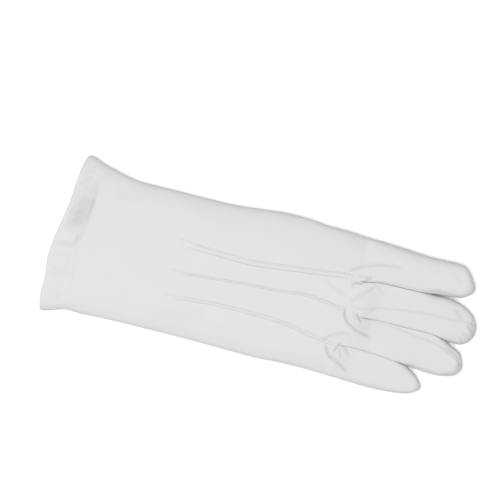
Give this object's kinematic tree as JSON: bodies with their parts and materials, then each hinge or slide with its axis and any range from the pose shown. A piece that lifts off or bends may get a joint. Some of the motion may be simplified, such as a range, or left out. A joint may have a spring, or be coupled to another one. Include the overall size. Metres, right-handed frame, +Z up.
{
  "type": "cotton glove",
  "caption": "Cotton dress glove for the right hand, lying flat with its back up and thumb folded under the palm, with a gathered hem and raised stitched points on the back.",
  "frame": {"origin": "middle of the underside of the whole glove, on the surface it lies on", "axes": "+X runs from the cuff to the fingertips, +Y toward the index finger's side, +Z up from the palm to the back"},
  "size_m": [0.2942, 0.1104, 0.0161],
  "materials": {
    "cotton_knit": "matt",
    "stitching": "matt"
  },
  "bodies": {
    "root": {"hand_trank": "cotton_knit", "fourchette_index_middle": "cotton_knit", "fourchette_middle_ring": "cotton_knit", "fourchette_ring_little": "cotton_knit", "thumb": "cotton_knit", "cuff_hem": "cotton_knit", "point_index": "stitching", "point_middle": "stitching", "point_ring": "stitching"}
  },
  "joints": []
}
